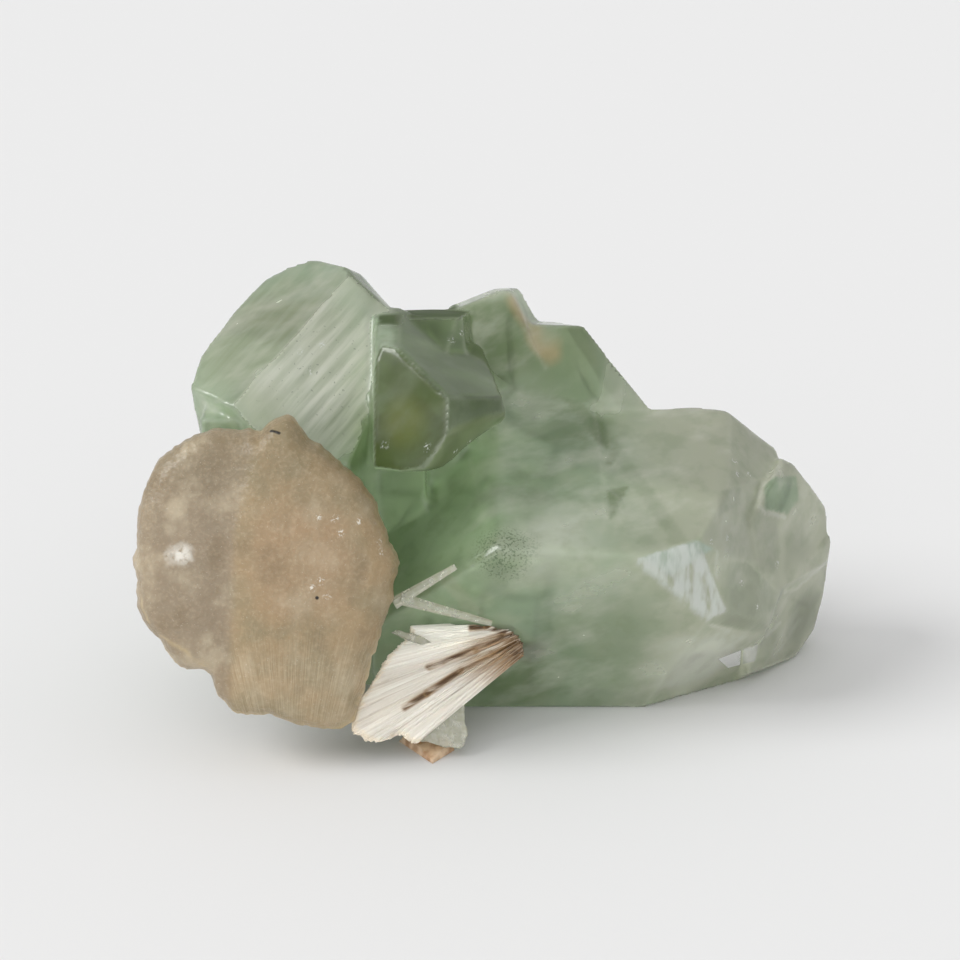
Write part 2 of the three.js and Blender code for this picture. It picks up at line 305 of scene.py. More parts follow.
def mesh_of(shape, name):
    mesh = bpy.data.meshes.new(name)
    shape.to_mesh(mesh)
    shape.free()
    return mesh


def linked(name, data):
    made = bpy.data.objects.new(name, data)
    scene.collection.objects.link(made)
    return made


def settled(made):
    """The mesh of an object with its modifiers applied; the object itself goes."""
    graph = bpy.context.evaluated_depsgraph_get()
    mesh = bpy.data.meshes.new_from_object(made.evaluated_get(graph))
    bpy.data.objects.remove(made)
    return mesh


def remeshed(mesh, voxel, smoothing):
    """A closed mesh made fine and even by voxels, and slightly softened."""
    made = linked("remesh", mesh)
    remesh = made.modifiers.new("remesh", "REMESH")
    remesh.mode = "VOXEL"
    remesh.voxel_size = voxel
    soften = made.modifiers.new("soften", "SMOOTH")
    soften.iterations = smoothing
    return settled(made)


def worn(mesh, weights, rounds):
    """A mesh with its points smoothed further, each by its own weight."""
    made = linked("worn", mesh)
    group = made.vertex_groups.new(name="worn")
    for index in np.flatnonzero(weights > LEAST_WEAR):
        group.add([int(index)], float(weights[index]), "REPLACE")
    soften = made.modifiers.new("worn", "SMOOTH")
    soften.vertex_group = "worn"
    soften.iterations = rounds
    return settled(made)


def mesh_points(mesh):
    """The places, in mm, and the directions of a mesh's points, as arrays."""
    places = np.zeros(len(mesh.vertices) * 3)
    mesh.vertices.foreach_get("co", places)
    directions = np.zeros(len(mesh.vertices) * 3)
    mesh.vertex_normals.foreach_get("vector", directions)
    return places.reshape(-1, 3) / MM, directions.reshape(-1, 3)


def keep_values(mesh, values):
    """Stores one number for each point under each name."""
    for name, numbers in values.items():
        mesh.attributes.new(name, "FLOAT", "POINT").data.foreach_set("value", numbers)


def moved(mesh, places):
    """Moves a mesh's points to new places, in mm, and shades it smooth."""
    mesh.vertices.foreach_set("co", (places * MM).ravel())
    mesh.polygons.foreach_set("use_smooth", [True] * len(mesh.polygons))
    mesh.update()


def finished(name, mesh, material, slot, *nodes):
    """Makes a mesh a piece of the specimen, in place of its solids."""
    mesh.materials.clear()
    mesh.materials.append(material)
    made = linked(name, mesh)
    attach(made, "root")
    if nodes:
        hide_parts(*nodes)
    print(name, "has", len(mesh.polygons), "faces")
    return made


# %% [markdown]
# A mask can also be worked out once for each point of a mesh. `around` and `beside_line` are twins of the shader's
# masks. `bumps` is a plain noise, and `cloud_noise` adds octaves, each twice as fine as the one before.

# %% Masks and noises for points
FINER = 2


def eased(values, low, high):
    """0 at low and 1 at high, with a soft step between; low may be the larger."""
    share = np.clip((values - low) / (high - low), 0, 1)
    return share * share * (3 - 2 * share)


def from_line(points, pixels, tree=cluster_tree):
    """How far, in mm, each point lies from a line through the spots that pixels show."""
    line = [spot(*pixel, tree) for pixel in pixels]
    nearest = np.full(len(points), np.inf)
    for start, end in zip(line, line[1:]):
        run = np.array(end - start)
        share = np.clip((points - np.array(start)) @ run / (run @ run), 0, 1)
        gap = points - np.array(start) - share[:, None] * run
        nearest = np.minimum(nearest, np.linalg.norm(gap, axis=1))
    return nearest


def beside_line(points, pixels, inner, outer, tree=cluster_tree):
    """1 for points within inner mm of a line through pixels, and 0 beyond outer mm."""
    return eased(from_line(points, pixels, tree), outer, inner)


def around(points, pixel, inner, outer, tree=cluster_tree):
    """1 for points within inner mm of the spot that a pixel shows, and 0 beyond outer mm."""
    return eased(np.linalg.norm(points - np.array(spot(*pixel, tree)), axis=1), outer, inner)


def bumps(points, pitch):
    """A plain noise at each point, with about `pitch` bumps per mm."""
    return np.array([noise.noise(Vector(point) * pitch) for point in points])


def cloud_noise(points, pitch, falloff, octaves):
    """A noise at each point, with octaves that weaken by the falloff."""
    return np.array([noise.fractal(Vector(point) * pitch, falloff, FINER, octaves) for point in points])


# %% [markdown]
# The apophyllite crystals have flat faces that meet in edges worn soft by handling. A Bevel would do for one crystal,
# but here many crystals run into each other in thin steps, where bevels collide. A fine voxel remesh of the whole
# cluster rounds every edge by the same small amount instead. A few long edges are worn much rounder, so the points
# within reach of them are smoothed further. How near a point lies to a worn edge is kept in an `edge` attribute, so
# that the finish can paint it paler, a painted highlight along the worn edges.

# %% The apophyllite crystals
CRYSTAL_VOXEL = 0.39 * MM
SHARP = math.radians(12)
EDGE_STEP = 0.25
EDGE_WIDTH = 0.3
ROUND_EDGES = [
    ([(470, 425), (489, 462), (489, 553)], 3.5), ([(489, 553), (560, 548), (625, 546)], 3.5),
    ([(374, 470), (374, 508)], 2.5), ([(426, 474), (425, 518)], 2.5), ([(374, 345), (374, 470)], 1.0),
]
ROUND_STEPS = 60

crystals = remeshed(mesh_of(welded("apophyllite_cluster"), "crystals"), CRYSTAL_VOXEL, smoothing=2)
crystal_points, _ = mesh_points(crystals)
from_round = np.min([from_line(crystal_points, line) / reach for line, reach in ROUND_EDGES], axis=0)
crystals = worn(crystals, np.clip(2 - 2 * from_round, 0, 1), ROUND_STEPS)
crystal_points, crystal_normals = mesh_points(crystals)

shape = welded("apophyllite_cluster")
edge_points = []
for edge in shape.edges:
    if edge.is_convex and edge.calc_face_angle() > SHARP:
        start, end = (vertex.co / MM for vertex in edge.verts)
        steps = max(1, round((end - start).length / EDGE_STEP))
        edge_points += [start.lerp(end, step / steps) for step in range(steps + 1)]
shape.free()
edge_tree = KDTree(len(edge_points))
for index, point in enumerate(edge_points):
    edge_tree.insert(point, index)
edge_tree.balance()
from_edge = np.array([edge_tree.find(point)[2] for point in crystal_points])
keep_values(crystals, {"edge": np.clip(from_round, 0, 1) * np.exp(-((from_edge / EDGE_WIDTH) ** 2))})
print("crystals have", len(crystal_points), "points, and", len(edge_points), "marks along worn edges")

# %% [markdown]
# Some faces of the cluster have a look of their own, such as the striated face of the prism. A face is named by a
# pixel that shows it, and its mask is 1 for every point in that plane. The masks that the shader needs are kept as
# attributes. The striae are fine ridges along the prism, and all faces swell a little, so both are moved as geometry.

# %% Faces of their own, and their relief
ON_PLANE = 0.3
ALIGNED = (0.8, 0.95)
FACES = {
    "striated": (300, 400), "lens": (270, 340), "pearly": (680, 575),
    "olive_left": (400, 420), "olive_roof": (478, 375), "olive_right": (475, 400), "olive_low": (455, 452),
    "notch_top": (440, 315),
}
SHADED_FACES = ("striated", "lens", "pearly", "notch_top")
STRIA_DEPTH = 0.09
STRIA_PITCH = 1.7
STRIA_LENGTH = 25
SWELL_DEPTH = 0.1
SWELL_PITCH = 0.22


def face_at(pixel):
    """A point, in mm, and the direction of the flat face that a pixel shows."""
    point, normal, _, _ = cluster_tree.ray_cast(eye, sight(*pixel))
    return point / MM, normal


def on_face(pixel):
    """1 for each point of the crystals that lies in the plane that a pixel shows, fading over its rounded edges."""
    point, normal = face_at(pixel)
    height = (crystal_points - np.array(point)) @ np.array(normal)
    return eased(abs(height), 2 * ON_PLANE, ON_PLANE) * eased(crystal_normals @ np.array(normal), *ALIGNED)


faces = {name: on_face(pixel) for name, pixel in FACES.items()}
keep_values(crystals, {name: faces[name] for name in SHADED_FACES})
prism_axis = face_at(FACES["lens"])[1].cross(face_at(FACES["striated"])[1]).normalized()
lengthwise = crystal_points @ np.array(prism_axis)
drawn = crystal_points + np.outer(lengthwise * (1 / STRIA_LENGTH - 1), prism_axis)
ridges = STRIA_DEPTH * faces["striated"] * bumps(drawn, STRIA_PITCH)
above_floor = np.clip(crystal_points[:, 2], 0, 1)
rise = ridges + SWELL_DEPTH * bumps(crystal_points, SWELL_PITCH) * above_floor
moved(crystals, crystal_points + crystal_normals * rise[:, None])
print("points in faces of their own:", {name: int(mask.sum()) for name, mask in faces.items()})

# %% [markdown]
# Apophyllite colours lie in soft zones: deep green in the hollow, olive in the small crystal, grey at the free end, a
# stain on the ridge. Some zones are painted shade: under the prism, in the notch beside the small crystal, and
# under the stem of the fan. A few small faces that face away from the light are painted darker, a painted shade,
# and some rims are paler, a painted highlight. Glints are painted white too. Each mark could be a few shader nodes,
# but dozens of them make a slow render. They are wider than the gaps between the points of the mesh, so they are
# worked out once for each point and kept as one colour attribute. Their edges drift with a noise that gets a seed,
# because it would follow the clock without one.

# %% Colour zones of the apophyllite
PALE_GREEN = srgb(177, 190, 162)
MID_GREEN = srgb(158, 178, 148)
SOFT_GREEN = srgb(120, 140, 104)
DEEP_GREEN = srgb(170, 197, 152)
DARK_GREEN = srgb(104, 124, 78)
RIDGE_GREEN = srgb(90, 110, 62)
PANE_GREEN = srgb(138, 162, 130)
LENS_GREY = srgb(150, 153, 122)
GREY_END = srgb(191, 194, 173)
GREY_FACET = srgb(132, 138, 116)
OLIVE = srgb(98, 108, 0)
OLIVE_FACE = srgb(66, 82, 14)
OLIVE_SHADE = srgb(58, 78, 24)
OLIVE_BAND = srgb(140, 152, 110)
FILM = srgb(190, 198, 168)
STEM_SHADE = srgb(56, 54, 30)
MILK = srgb(226, 230, 214)
TEAL = srgb(190, 216, 212)
VEIL_AND_HIGHLIGHT = srgb(240, 240, 228)
STAIN = srgb(196, 164, 120)
CLOUD_LIMITS = (-0.3, 0.4)
GREY_LIMITS = (4, 24)
ZONES = [
    ((270, 340), 5, 12, 0.6, LENS_GREY),
    # painted shade under the prism
    ((350, 438), 3, 7, 1.0, RIDGE_GREEN),
    # painted shade in the notch beside the small crystal
    ((460, 345), 4, 12, 0.85, DARK_GREEN),
    ((492, 340), 3, 7, 0.8, RIDGE_GREEN),
    ((425, 325), 1, 5, 0.6, OLIVE_SHADE),
    ((560, 345), 3, 10, 0.75, DARK_GREEN),
    ((570, 415), 3, 9, 0.9, SOFT_GREEN),
    ((545, 490), 3, 9, 0.4, SOFT_GREEN),
    ((420, 520), 6, 18, 0.9, DEEP_GREEN),
    ((440, 405), 6, 10, 0.75, OLIVE_SHADE),
    # painted shadow under the stem of the fan
    ((514, 674), 2, 7.5, 0.75, DARK_GREEN),
    ((526, 652), 0.5, 2.2, 0.75, STEM_SHADE),
    ((560, 535), 2, 8, 0.5, MILK),
    ((503, 550), 1, 4, 0.45, DARK_GREEN),
    ((600, 640), 3, 10, 0.45, SOFT_GREEN),
    ((702, 660), 2, 7, 0.95, VEIL_AND_HIGHLIGHT),
    ((800, 620), 2, 5, 0.75, GREY_FACET),
    ((795, 545), 1, 4, 0.45, GREY_FACET),
]
FACE_TINTS = {
    "olive_left": (0.9, OLIVE_FACE), "olive_roof": (0.8, RIDGE_GREEN), "olive_right": (0.9, OLIVE_SHADE),
    # notch_top: painted shade on the top face in the notch
    "olive_low": (0.6, OLIVE_BAND), "notch_top": (0.9, OLIVE_SHADE),
}
OLIVE_HEART = ((405, 422), 1, 4)
OLIVE_SHARE = 0.9
STAIN_LINE = [(512, 300), (548, 350)]
STAIN_REACH = (0.3, 2.0)
STAIN_SHARE = 0.6
FACETS = [
    # painted shade on two small steps that face away from the light
    ([(604, 464), (613, 449), (621, 450), (612, 466)], 0.7, DARK_GREEN),
    ([(606, 490), (629, 486), (612, 520), (607, 515)], 0.7, DARK_GREEN),
    ([(436, 579), (449, 572), (487, 617), (462, 607)], 0.5, FILM),
    ([(765, 487), (773, 477), (796, 476), (799, 500), (787, 514), (765, 509)], 0.9, PANE_GREEN),
    # painted shade: the end face, darker grey
    ([(718, 560), (748, 563), (781, 597), (780, 623), (768, 635), (711, 623)], 0.6, GREY_FACET),
    ([(720, 491), (741, 487), (742, 504), (718, 516)], 0.4, GREY_FACET),
    # painted teal sheen on the pearly face
    ([(640, 558), (697, 540), (714, 549), (670, 575)], 0.5, TEAL),
]
# painted highlights: pale rims along some edges
RIMS = [
    [(774, 474), (761, 487), (759, 506), (765, 512), (785, 517)],
    [(711, 625), (766, 636), (780, 623)],
    [(785, 592), (796, 589), (821, 567)],
    [(717, 552), (716, 567), (708, 618)],
]
RIM_REACH = (0.1, 0.45)
RIM_SHARE = 0.45
FROSTED = ((318, 365), 3, 13)
SPECKLED = ((503, 552), 1.5, 5)
# painted glints
GLEAMS = [
    (455, 452), (470, 443), (385, 445), (427, 447), (461, 333), (452, 340), (735, 461), (738, 474), (749, 475),
    (742, 583), (757, 607), (777, 564), (300, 352), (322, 345), (310, 372), (711, 541), (727, 539),
]
GLEAM_REACH = (0.1, 0.5)
CLEAR_DEEP = [((430, 500), 4, 12), ((460, 350), 3, 8), ((350, 430), 2, 6), ((575, 360), 2, 8)]
CLEAR_SHARE = 0.85
DRIFT = 1.4
DRIFT_PITCH = 0.3
DRIFT_SEED = 1
CLOUD_PITCH = 0.12
FACET_EDGE = 0.16


def inside_of(pixels):
    """1 for points that show inside a convex outline of pixels, given clockwise."""
    middle = [sum(values) / len(pixels) for values in zip(*pixels)]
    mask = around(crystal_points, middle, FACET_REACH / 2, FACET_REACH)
    for first, second in zip(pixels, pixels[1:] + pixels[:1]):
        inward = np.array(sight(*first).cross(sight(*second)).normalized())
        mask = mask * eased((crystal_points - np.array(eye) / MM) @ inward, -FACET_EDGE, FACET_EDGE)
    return mask


def tinted(paint, share, tint):
    """The paint, mixed with a tint by each point's own share."""
    return paint + share[:, None] * (np.array(tint) - paint)


noise.seed_set(DRIFT_SEED)
drift = np.array([noise.noise_vector(Vector(point) * DRIFT_PITCH) for point in crystal_points])
drifted = crystal_points + DRIFT * drift
cloudy = eased(cloud_noise(crystal_points, CLOUD_PITCH, falloff=0.7, octaves=4), *CLOUD_LIMITS)
paint = tinted(np.tile(MID_GREEN, (len(crystal_points), 1)), cloudy, PALE_GREEN)
paint = tinted(paint, eased(drifted[:, 0], *GREY_LIMITS), GREY_END)
for pixel, inner, outer, share, tint in ZONES:
    paint = tinted(paint, around(drifted, pixel, inner, outer) * share, tint)
for name, (share, tint) in FACE_TINTS.items():
    paint = tinted(paint, faces[name] * share, tint)
paint = tinted(paint, around(crystal_points, *OLIVE_HEART) * OLIVE_SHARE, OLIVE)
paint = tinted(paint, beside_line(drifted, STAIN_LINE, *STAIN_REACH) * STAIN_SHARE, STAIN)
for outline, share, tint in FACETS:
    paint = tinted(paint, inside_of(outline) * share, tint)
for line in RIMS:
    paint = tinted(paint, beside_line(crystal_points, line, *RIM_REACH) * RIM_SHARE, VEIL_AND_HIGHLIGHT)
crystals.attributes.new("paint", "FLOAT_COLOR", "POINT").data.foreach_set("color", paint.ravel())

frosted = faces["striated"] * around(crystal_points, *FROSTED)
speckled = around(drifted, *SPECKLED)
gleaming = np.clip(sum(around(crystal_points, pixel, *GLEAM_REACH) for pixel in GLEAMS), 0, 1)
clear_deep = sum(around(drifted, *zone) for zone in CLEAR_DEEP) + sum(faces[name] for name in FACE_TINTS)
veiled = 1 - CLEAR_SHARE * np.clip(clear_deep, 0, 1)
keep_values(crystals, {"frosted": frosted, "speckled": speckled, "gleaming": gleaming, "veiled": veiled})
print("colour zones and marks:", len(ZONES) + len(FACE_TINTS) + len(FACETS) + len(RIMS) + len(GLEAMS))

# %% [markdown]
# Plain transmission with apophyllite's real refraction gives the glass, and a volume absorbs red and blue light so
# that thick parts look greener. The cloudy share is light that scatters under the surface, far enough to make every
# face glow alike. Fine marks stay shader nodes: veils inside the crystals, pale striae with tiny pits on the prism, a
# painted pearly sheen on one face, painted glints, two small faces painted white as a highlight and made metallic so
# they mirror the light, and paler worn edges, a painted highlight.

# %% Apophyllite finish
VEIL_AXIS = Vector((0.8, 0.2, 0.5)).normalized()
UPRIGHT = Vector((0, 0, 1))
WHITE = (1, 1, 1, 1)
SHEEN = srgb(238, 240, 242)
SPECK = srgb(70, 98, 60)
PIT = srgb(110, 116, 100)
DEPTH_TINT = srgb(190, 216, 160)
GLARE_EDGE = 0.06
# painted highlight: two small faces painted white, and made metallic so they also mirror
MIRROR_GLARE = [
    ([(718, 659), (741, 650), (740, 665), (728, 668)], 1.0),
    ([(743, 649), (758, 645), (755, 661), (743, 664)], 0.5),
]

apophyllite = Finish("apophyllite")
apophyllite.colour = apophyllite.attribute("paint", "Color")
mottle = apophyllite.noise(0.4, detail=3)
apophyllite.tint(mottle.smooth(0.55, 0.3) * 0.2, DARK_GREEN)
veils = apophyllite.noise(0.24, detail=4, axis=VEIL_AXIS, length=2.5).smooth(0.42, 0.75)
veils = veils * apophyllite.attribute("veiled")
apophyllite.tint(veils * 0.43, VEIL_AND_HIGHLIGHT)
striae = apophyllite.noise(1.1, detail=3, axis=prism_axis, length=12).smooth(0.3, 0.7)
apophyllite.tint(apophyllite.attribute("lens") * striae * 0.15, MILK)
striated = apophyllite.attribute("striated")
frosted = apophyllite.attribute("frosted")
apophyllite.tint((striated * 0.17 + frosted * (0.2 + 0.7 * striae)).held(), VEIL_AND_HIGHLIGHT)
pits = frosted * apophyllite.noise(2.6, detail=1).smooth(0.68, 0.76)
apophyllite.tint(pits * 0.6, PIT)
# painted sheen on the pearly face
pearl = apophyllite.noise(1.1, detail=2, axis=UPRIGHT, length=3).smooth(0.25, 0.65)
apophyllite.tint(pearl * apophyllite.attribute("pearly") * 0.9, SHEEN)
# painted highlight: worn edges made paler
apophyllite.tint(apophyllite.attribute("edge") * 0.12, VEIL_AND_HIGHLIGHT)
fine = apophyllite.noise(4, detail=1)
specks = fine.smooth(0.48, 0.68) * apophyllite.attribute("speckled")
apophyllite.tint(specks * 0.6, SPECK)
# painted glints, white
apophyllite.tint(fine.smooth(0.5, 0.6) * apophyllite.attribute("gleaming"), WHITE)
# painted highlight on two small faces, which are metallic too
mirror_glare = sum(apophyllite.facet(outline, GLARE_EDGE) * share for outline, share in MIRROR_GLARE).held()
apophyllite.tint(mirror_glare, WHITE)

notch_top = apophyllite.attribute("notch_top")
roughness = 0.16 + veils * 0.15 + striated * 0.15 + notch_top * 0.6
apophyllite_material = apophyllite.surface(
    {
        "Base Color": apophyllite.colour,
        "Metallic": mirror_glare,
        "Roughness": roughness,
        "IOR": 1.535,
        "Specular IOR Level": 0.3,
        "Transmission Weight": 0.5,
        "Subsurface Weight": 1.0,
        "Subsurface Radius": (6.0, 6.5, 5.0),
        "Subsurface Scale": MM,
        "Coat Weight": 0.25 - notch_top * 0.25,
        "Coat Roughness": 0.06,
        "Coat IOR": 1.5,
    },
    {"Color": DEPTH_TINT, "Density": 20},
)
finished("apophyllite_crystals", crystals, apophyllite_material, "apophyllite", "apophyllite_cluster")

# %% [markdown]
# The stilbite sheaf is a bundle of thin blades that open like a fan from below, in two lobes with a groove between.
# A fine remesh of its solid gives room for that relief. Each point then moves along its own direction by a noise that
# is long in the way the blades run, and the rim moves in and out where blades end unevenly. The same fan coordinates
# are kept as attributes for the finish.

# %% The stilbite sheaf
SHEAF_VOXEL = 0.24 * MM
SHEAF_LEAN = math.radians(14)
FAN_FOOT = (2.0, -34.0)
FRONT_GAIN = 1.5
BLADE_DEPTH = 0.06
BLADE_PITCH = (1.6, 0.06)
SUGAR_DEPTH = 0.07
SUGAR_PITCH = 0.9
LOBE_STEP = 0.3
LOBE_EDGE = 0.25
GROOVE = [(252, 455), (246, 480), (235, 530), (232, 600), (229, 690)]
RIM_SECTORS = 180
RIM_DEPTH = 0.3
RIM_PITCH = 6
RIM_START = 0.8
STEP_START = 0.25
# painted glints
GLINTS = [
    (318, 517), (335, 519), (341, 533), (359, 521), (380, 542), (382, 552), (321, 581), (312, 588), (327, 597),
]
GLINT_REACH = (0.1, 0.6)
CREAM_LINES = [[(160, 636), (185, 651), (204, 667)], [(141, 600), (149, 622)]]
CREAM_REACH = (0.0, 0.4)

sheaf = remeshed(mesh_of(welded("stilbite_sheaf"), "sheaf"), SHEAF_VOXEL, smoothing=2)
sheaf_points, sheaf_normals = mesh_points(sheaf)
low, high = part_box("stilbite_sheaf")
sheaf_middle = (low + high) / 2 / MM
up_way = Vector((0, math.sin(SHEAF_LEAN), math.cos(SHEAF_LEAN)))
out_way = Vector((0, -math.cos(SHEAF_LEAN), math.sin(SHEAF_LEAN)))
local = sheaf_points - np.array(sheaf_middle)
across = local[:, 0]
up = local @ np.array(up_way)
front = np.clip(sheaf_normals @ np.array(out_way) * FRONT_GAIN, 0, 1)

strand = np.arctan2(across - FAN_FOOT[0], up - FAN_FOOT[1]) * -FAN_FOOT[1]
groove_line = [spot(*pixel, sheaf_tree) - sheaf_middle for pixel in GROOVE]
groove_down = [-point.dot(up_way) for point in groove_line]
groove_at = np.interp(-up, groove_down, [point.x for point in groove_line])
left_lobe = 1 / (1 + np.exp((across - groove_at) / LOBE_EDGE))

turns = np.arctan2(up, across)
sector = ((turns / math.tau + 0.5) * RIM_SECTORS).astype(int) % RIM_SECTORS
reach = np.hypot(across, up)
furthest = np.array([reach[sector == index].max() for index in range(RIM_SECTORS)])
outward = reach / furthest[sector]
inside = np.clip((1 - outward) / STEP_START, 0, 1)

flat = np.zeros(len(turns))
ribs = bumps(np.column_stack((strand * BLADE_PITCH[0], up * BLADE_PITCH[1], flat)), 1)
sugar = cloud_noise(local, SUGAR_PITCH, falloff=0.8, octaves=3)
lift = BLADE_DEPTH * ribs * (1 - left_lobe) + SUGAR_DEPTH * sugar - LOBE_STEP * left_lobe * inside

round_rim = np.column_stack((np.cos(turns), np.sin(turns), flat))
ragged = cloud_noise(round_rim, RIM_PITCH, falloff=0.6, octaves=3)
push = RIM_DEPTH * ragged * np.clip((outward - RIM_START) / (1 - RIM_START), 0, 1)
way_out = np.outer(np.cos(turns), (1, 0, 0)) + np.outer(np.sin(turns), up_way)
moved(sheaf, sheaf_points + sheaf_normals * (lift * front)[:, None] + way_out * push[:, None])
glinting = sum(around(sheaf_points, pixel, *GLINT_REACH, sheaf_tree) for pixel in GLINTS)
creamy = sum(beside_line(sheaf_points, line, *CREAM_REACH, sheaf_tree) for line in CREAM_LINES)
keep_values(sheaf, {"strand": strand, "rise": up, "lobe": left_lobe, "outward": outward})
keep_values(sheaf, {"glinting": np.clip(glinting, 0, 1), "creamy": np.clip(creamy, 0, 1)})
print("sheaf blades run from", round(float(strand.min()), 1), "to", round(float(strand.max()), 1), "mm")

# %% [markdown]
# Stilbite is pearly and lets a little light in. The right lobe is peach, the left one is greyer, and the rim is
# painted cream, a painted glow where light passes through its thin edge. Fine streaks follow the blades in the lower
# half, so their noise reads the strand and rise attributes. Tiny bright grains, a few glints and a sparkling oval are
# painted highlights for the sugary sparkle. The few marks that stand out, such as the sparkling oval and a dark slit,
# are placed by their pixels.

# %% Stilbite finish
PEACH = srgb(160, 138, 104)
SAND = srgb(146, 131, 100)
PINK = srgb(166, 137, 106)
GREY_PINK = srgb(146, 131, 110)
TOP_SAND = srgb(124, 112, 84)
RIM_CREAM = srgb(206, 184, 138)
GRAIN = srgb(214, 198, 170)
CLOUD = srgb(192, 178, 152)
UMBER = srgb(122, 104, 76)
SPARKLE_WHITE = srgb(238, 234, 224)
SLIT = srgb(30, 24, 16)
PINK_ZONE = (300, 560)
SPARKLE_OVAL = (180, 554)
DARK_DOT = (317, 598)
DARK_SLIT = [(271, 431), (279, 433)]
FIBRE_PITCH = (6, 0.25)

stilbite = Finish("stilbite")
blade = stilbite.attribute("strand")
rise = stilbite.attribute("rise")
lobe = stilbite.attribute("lobe")
blade_inputs = {0: blade * FIBRE_PITCH[0], 1: rise * FIBRE_PITCH[1]}
blade_place = stilbite.node("ShaderNodeCombineXYZ", {}, blade_inputs)
fibres = stilbite.node("ShaderNodeTexNoise", {}, {"Vector": blade_place, "Scale": 1, "Detail": 3})
fibres = fibres * rise.smooth(4, -12) * (1 - 0.7 * lobe)
mottle = stilbite.noise(0.3, detail=4)
stilbite.colour = stilbite.blend(mottle.smooth(0.35, 0.65), SAND, PEACH)
stilbite.tint(stilbite.near(spot(*PINK_ZONE, sheaf_tree), 3, 9) * 0.5, PINK)
stilbite.tint(lobe * 0.85, GREY_PINK)
stilbite.tint(rise.smooth(4, 14) * 0.5, TOP_SAND)
patches = stilbite.noise(0.22, detail=4)
stilbite.tint(patches.smooth(0.5, 0.72) * (0.35 + 0.35 * lobe), CLOUD)
stilbite.tint(patches.smooth(0.46, 0.26) * 0.5, UMBER)
sugar = stilbite.noise(2.4, detail=3)
stilbite.tint(sugar.smooth(0.45, 0.75) * 0.15, GRAIN)
stilbite.tint(fibres.smooth(0.3, 0.7) * 0.3, GRAIN)
# painted glow: the rim paler cream where light passes through its thin edge, most at the bottom
rim = stilbite.attribute("outward").smooth(0.95, 1.0)
stilbite.tint(rim * (0.05 + 0.75 * rise.smooth(-4, -13)), RIM_CREAM)
stilbite.tint(stilbite.attribute("creamy") * 0.4, RIM_CREAM)

# painted highlights: sparkling grains, a sparkling oval and glints
sparkle_grains = stilbite.noise(7, detail=1).smooth(0.7, 0.76)
oval = stilbite.near(spot(*SPARKLE_OVAL, sheaf_tree), 0.3, 1.9) * stilbite.noise(2, detail=4).smooth(0.2, 0.55)
glints = stilbite.attribute("glinting") * stilbite.noise(4, detail=2).smooth(0.5, 0.64)
painted_sparkle = (sparkle_grains * 0.3 + oval + glints).held()
stilbite.tint(painted_sparkle * 0.85, SPARKLE_WHITE)
slit = stilbite.beside(*[spot(*pixel, sheaf_tree) for pixel in DARK_SLIT], 0.08, 0.25)
dot = stilbite.near(spot(*DARK_DOT, sheaf_tree), 0.12, 0.28, wander=False)
stilbite.tint((slit + dot).held(), SLIT)
stilbite_relief = fibres * 0.5 + sugar * 0.8 + painted_sparkle * 0.4
stilbite_material = stilbite.surface(
    {
        "Base Color": stilbite.colour,
        "Roughness": 0.36 - painted_sparkle * 0.22,
        "IOR": 1.5,
        "Subsurface Weight": 0.8,
        "Subsurface Radius": (3.5, 2.7, 1.9),
        "Subsurface Scale": MM,
        "Normal": stilbite.bump(stilbite_relief, 0.14),
    },
)
finished("stilbite_sheaf_blades", sheaf, stilbite_material, "stilbite", "stilbite_sheaf")

# %% [markdown]
# The scolecite fan is hundreds of silky needles from one stem to a wavy hem. The hem is drawn through pixels of the
# photograph on the plane of the fan, with shallow pleats in and out of that plane.

# %% The hem and the stem of the fan
FAN_STEM = Vector((2.3, -9.9, 10)) * MM
FAN_LEFT = Vector((-16.2, -19.8, 4.2)) * MM
FAN_RIGHT = Vector((-3.9, -18.3, 1.4)) * MM
HEM = [
    (412, 627), (411, 637), (398, 650), (386, 662), (382, 671), (370, 690), (362, 701), (353, 724), (354, 732),
    (361, 732), (368, 739), (377, 740), (386, 737), (397, 732), (404, 734), (412, 741), (419, 740),
]
STEM = [(505, 627), (518, 652)]
HEM_STEPS = 6
PLEAT_DEPTH = 0.45 * MM
PLEAT_COUNT = 14
fan_normal = (FAN_LEFT - FAN_STEM).cross(FAN_RIGHT - FAN_STEM).normalized()
fan_front = fan_normal * math.copysign(1, fan_normal.dot(eye - FAN_STEM))


def on_fan(across, down):
    """The point, in metres, where a sight line meets the plane of the fan."""
    return intersect_line_plane(eye, eye + sight(across, down), FAN_STEM, fan_normal)


hem_corners = [on_fan(*pixel) for pixel in HEM]
hem_points = []
for index, (start, end) in enumerate(zip(hem_corners, hem_corners[1:])):
    for step in range(HEM_STEPS):
        share = (index + step / HEM_STEPS) / len(HEM)
        pleat = PLEAT_DEPTH * noise.noise((share * PLEAT_COUNT, 0.5, 0.5))
        hem_points.append(start.lerp(end, step / HEM_STEPS) + fan_normal * pleat)
hem_curve = bpy.data.curves.new("hem", "CURVE")
hem_curve.dimensions = "3D"
hem_spline = hem_curve.splines.new("POLY")
hem_spline.points.add(len(hem_points) - 1)
for hem_point, place in zip(hem_spline.points, hem_points):
    hem_point.co = (*place, 1)
print("fan hem of", len(hem_points), "points")

# %% [markdown]
# Geometry Nodes makes one needle, sets a copy on each point of the hem, and turns and stretches it to its own point
# of the stem. In tufts, the copies stop short of the stem or run past it, because real needles break off unevenly.
# The needles' own shares, along and across the fan, are kept as attributes for the finish.

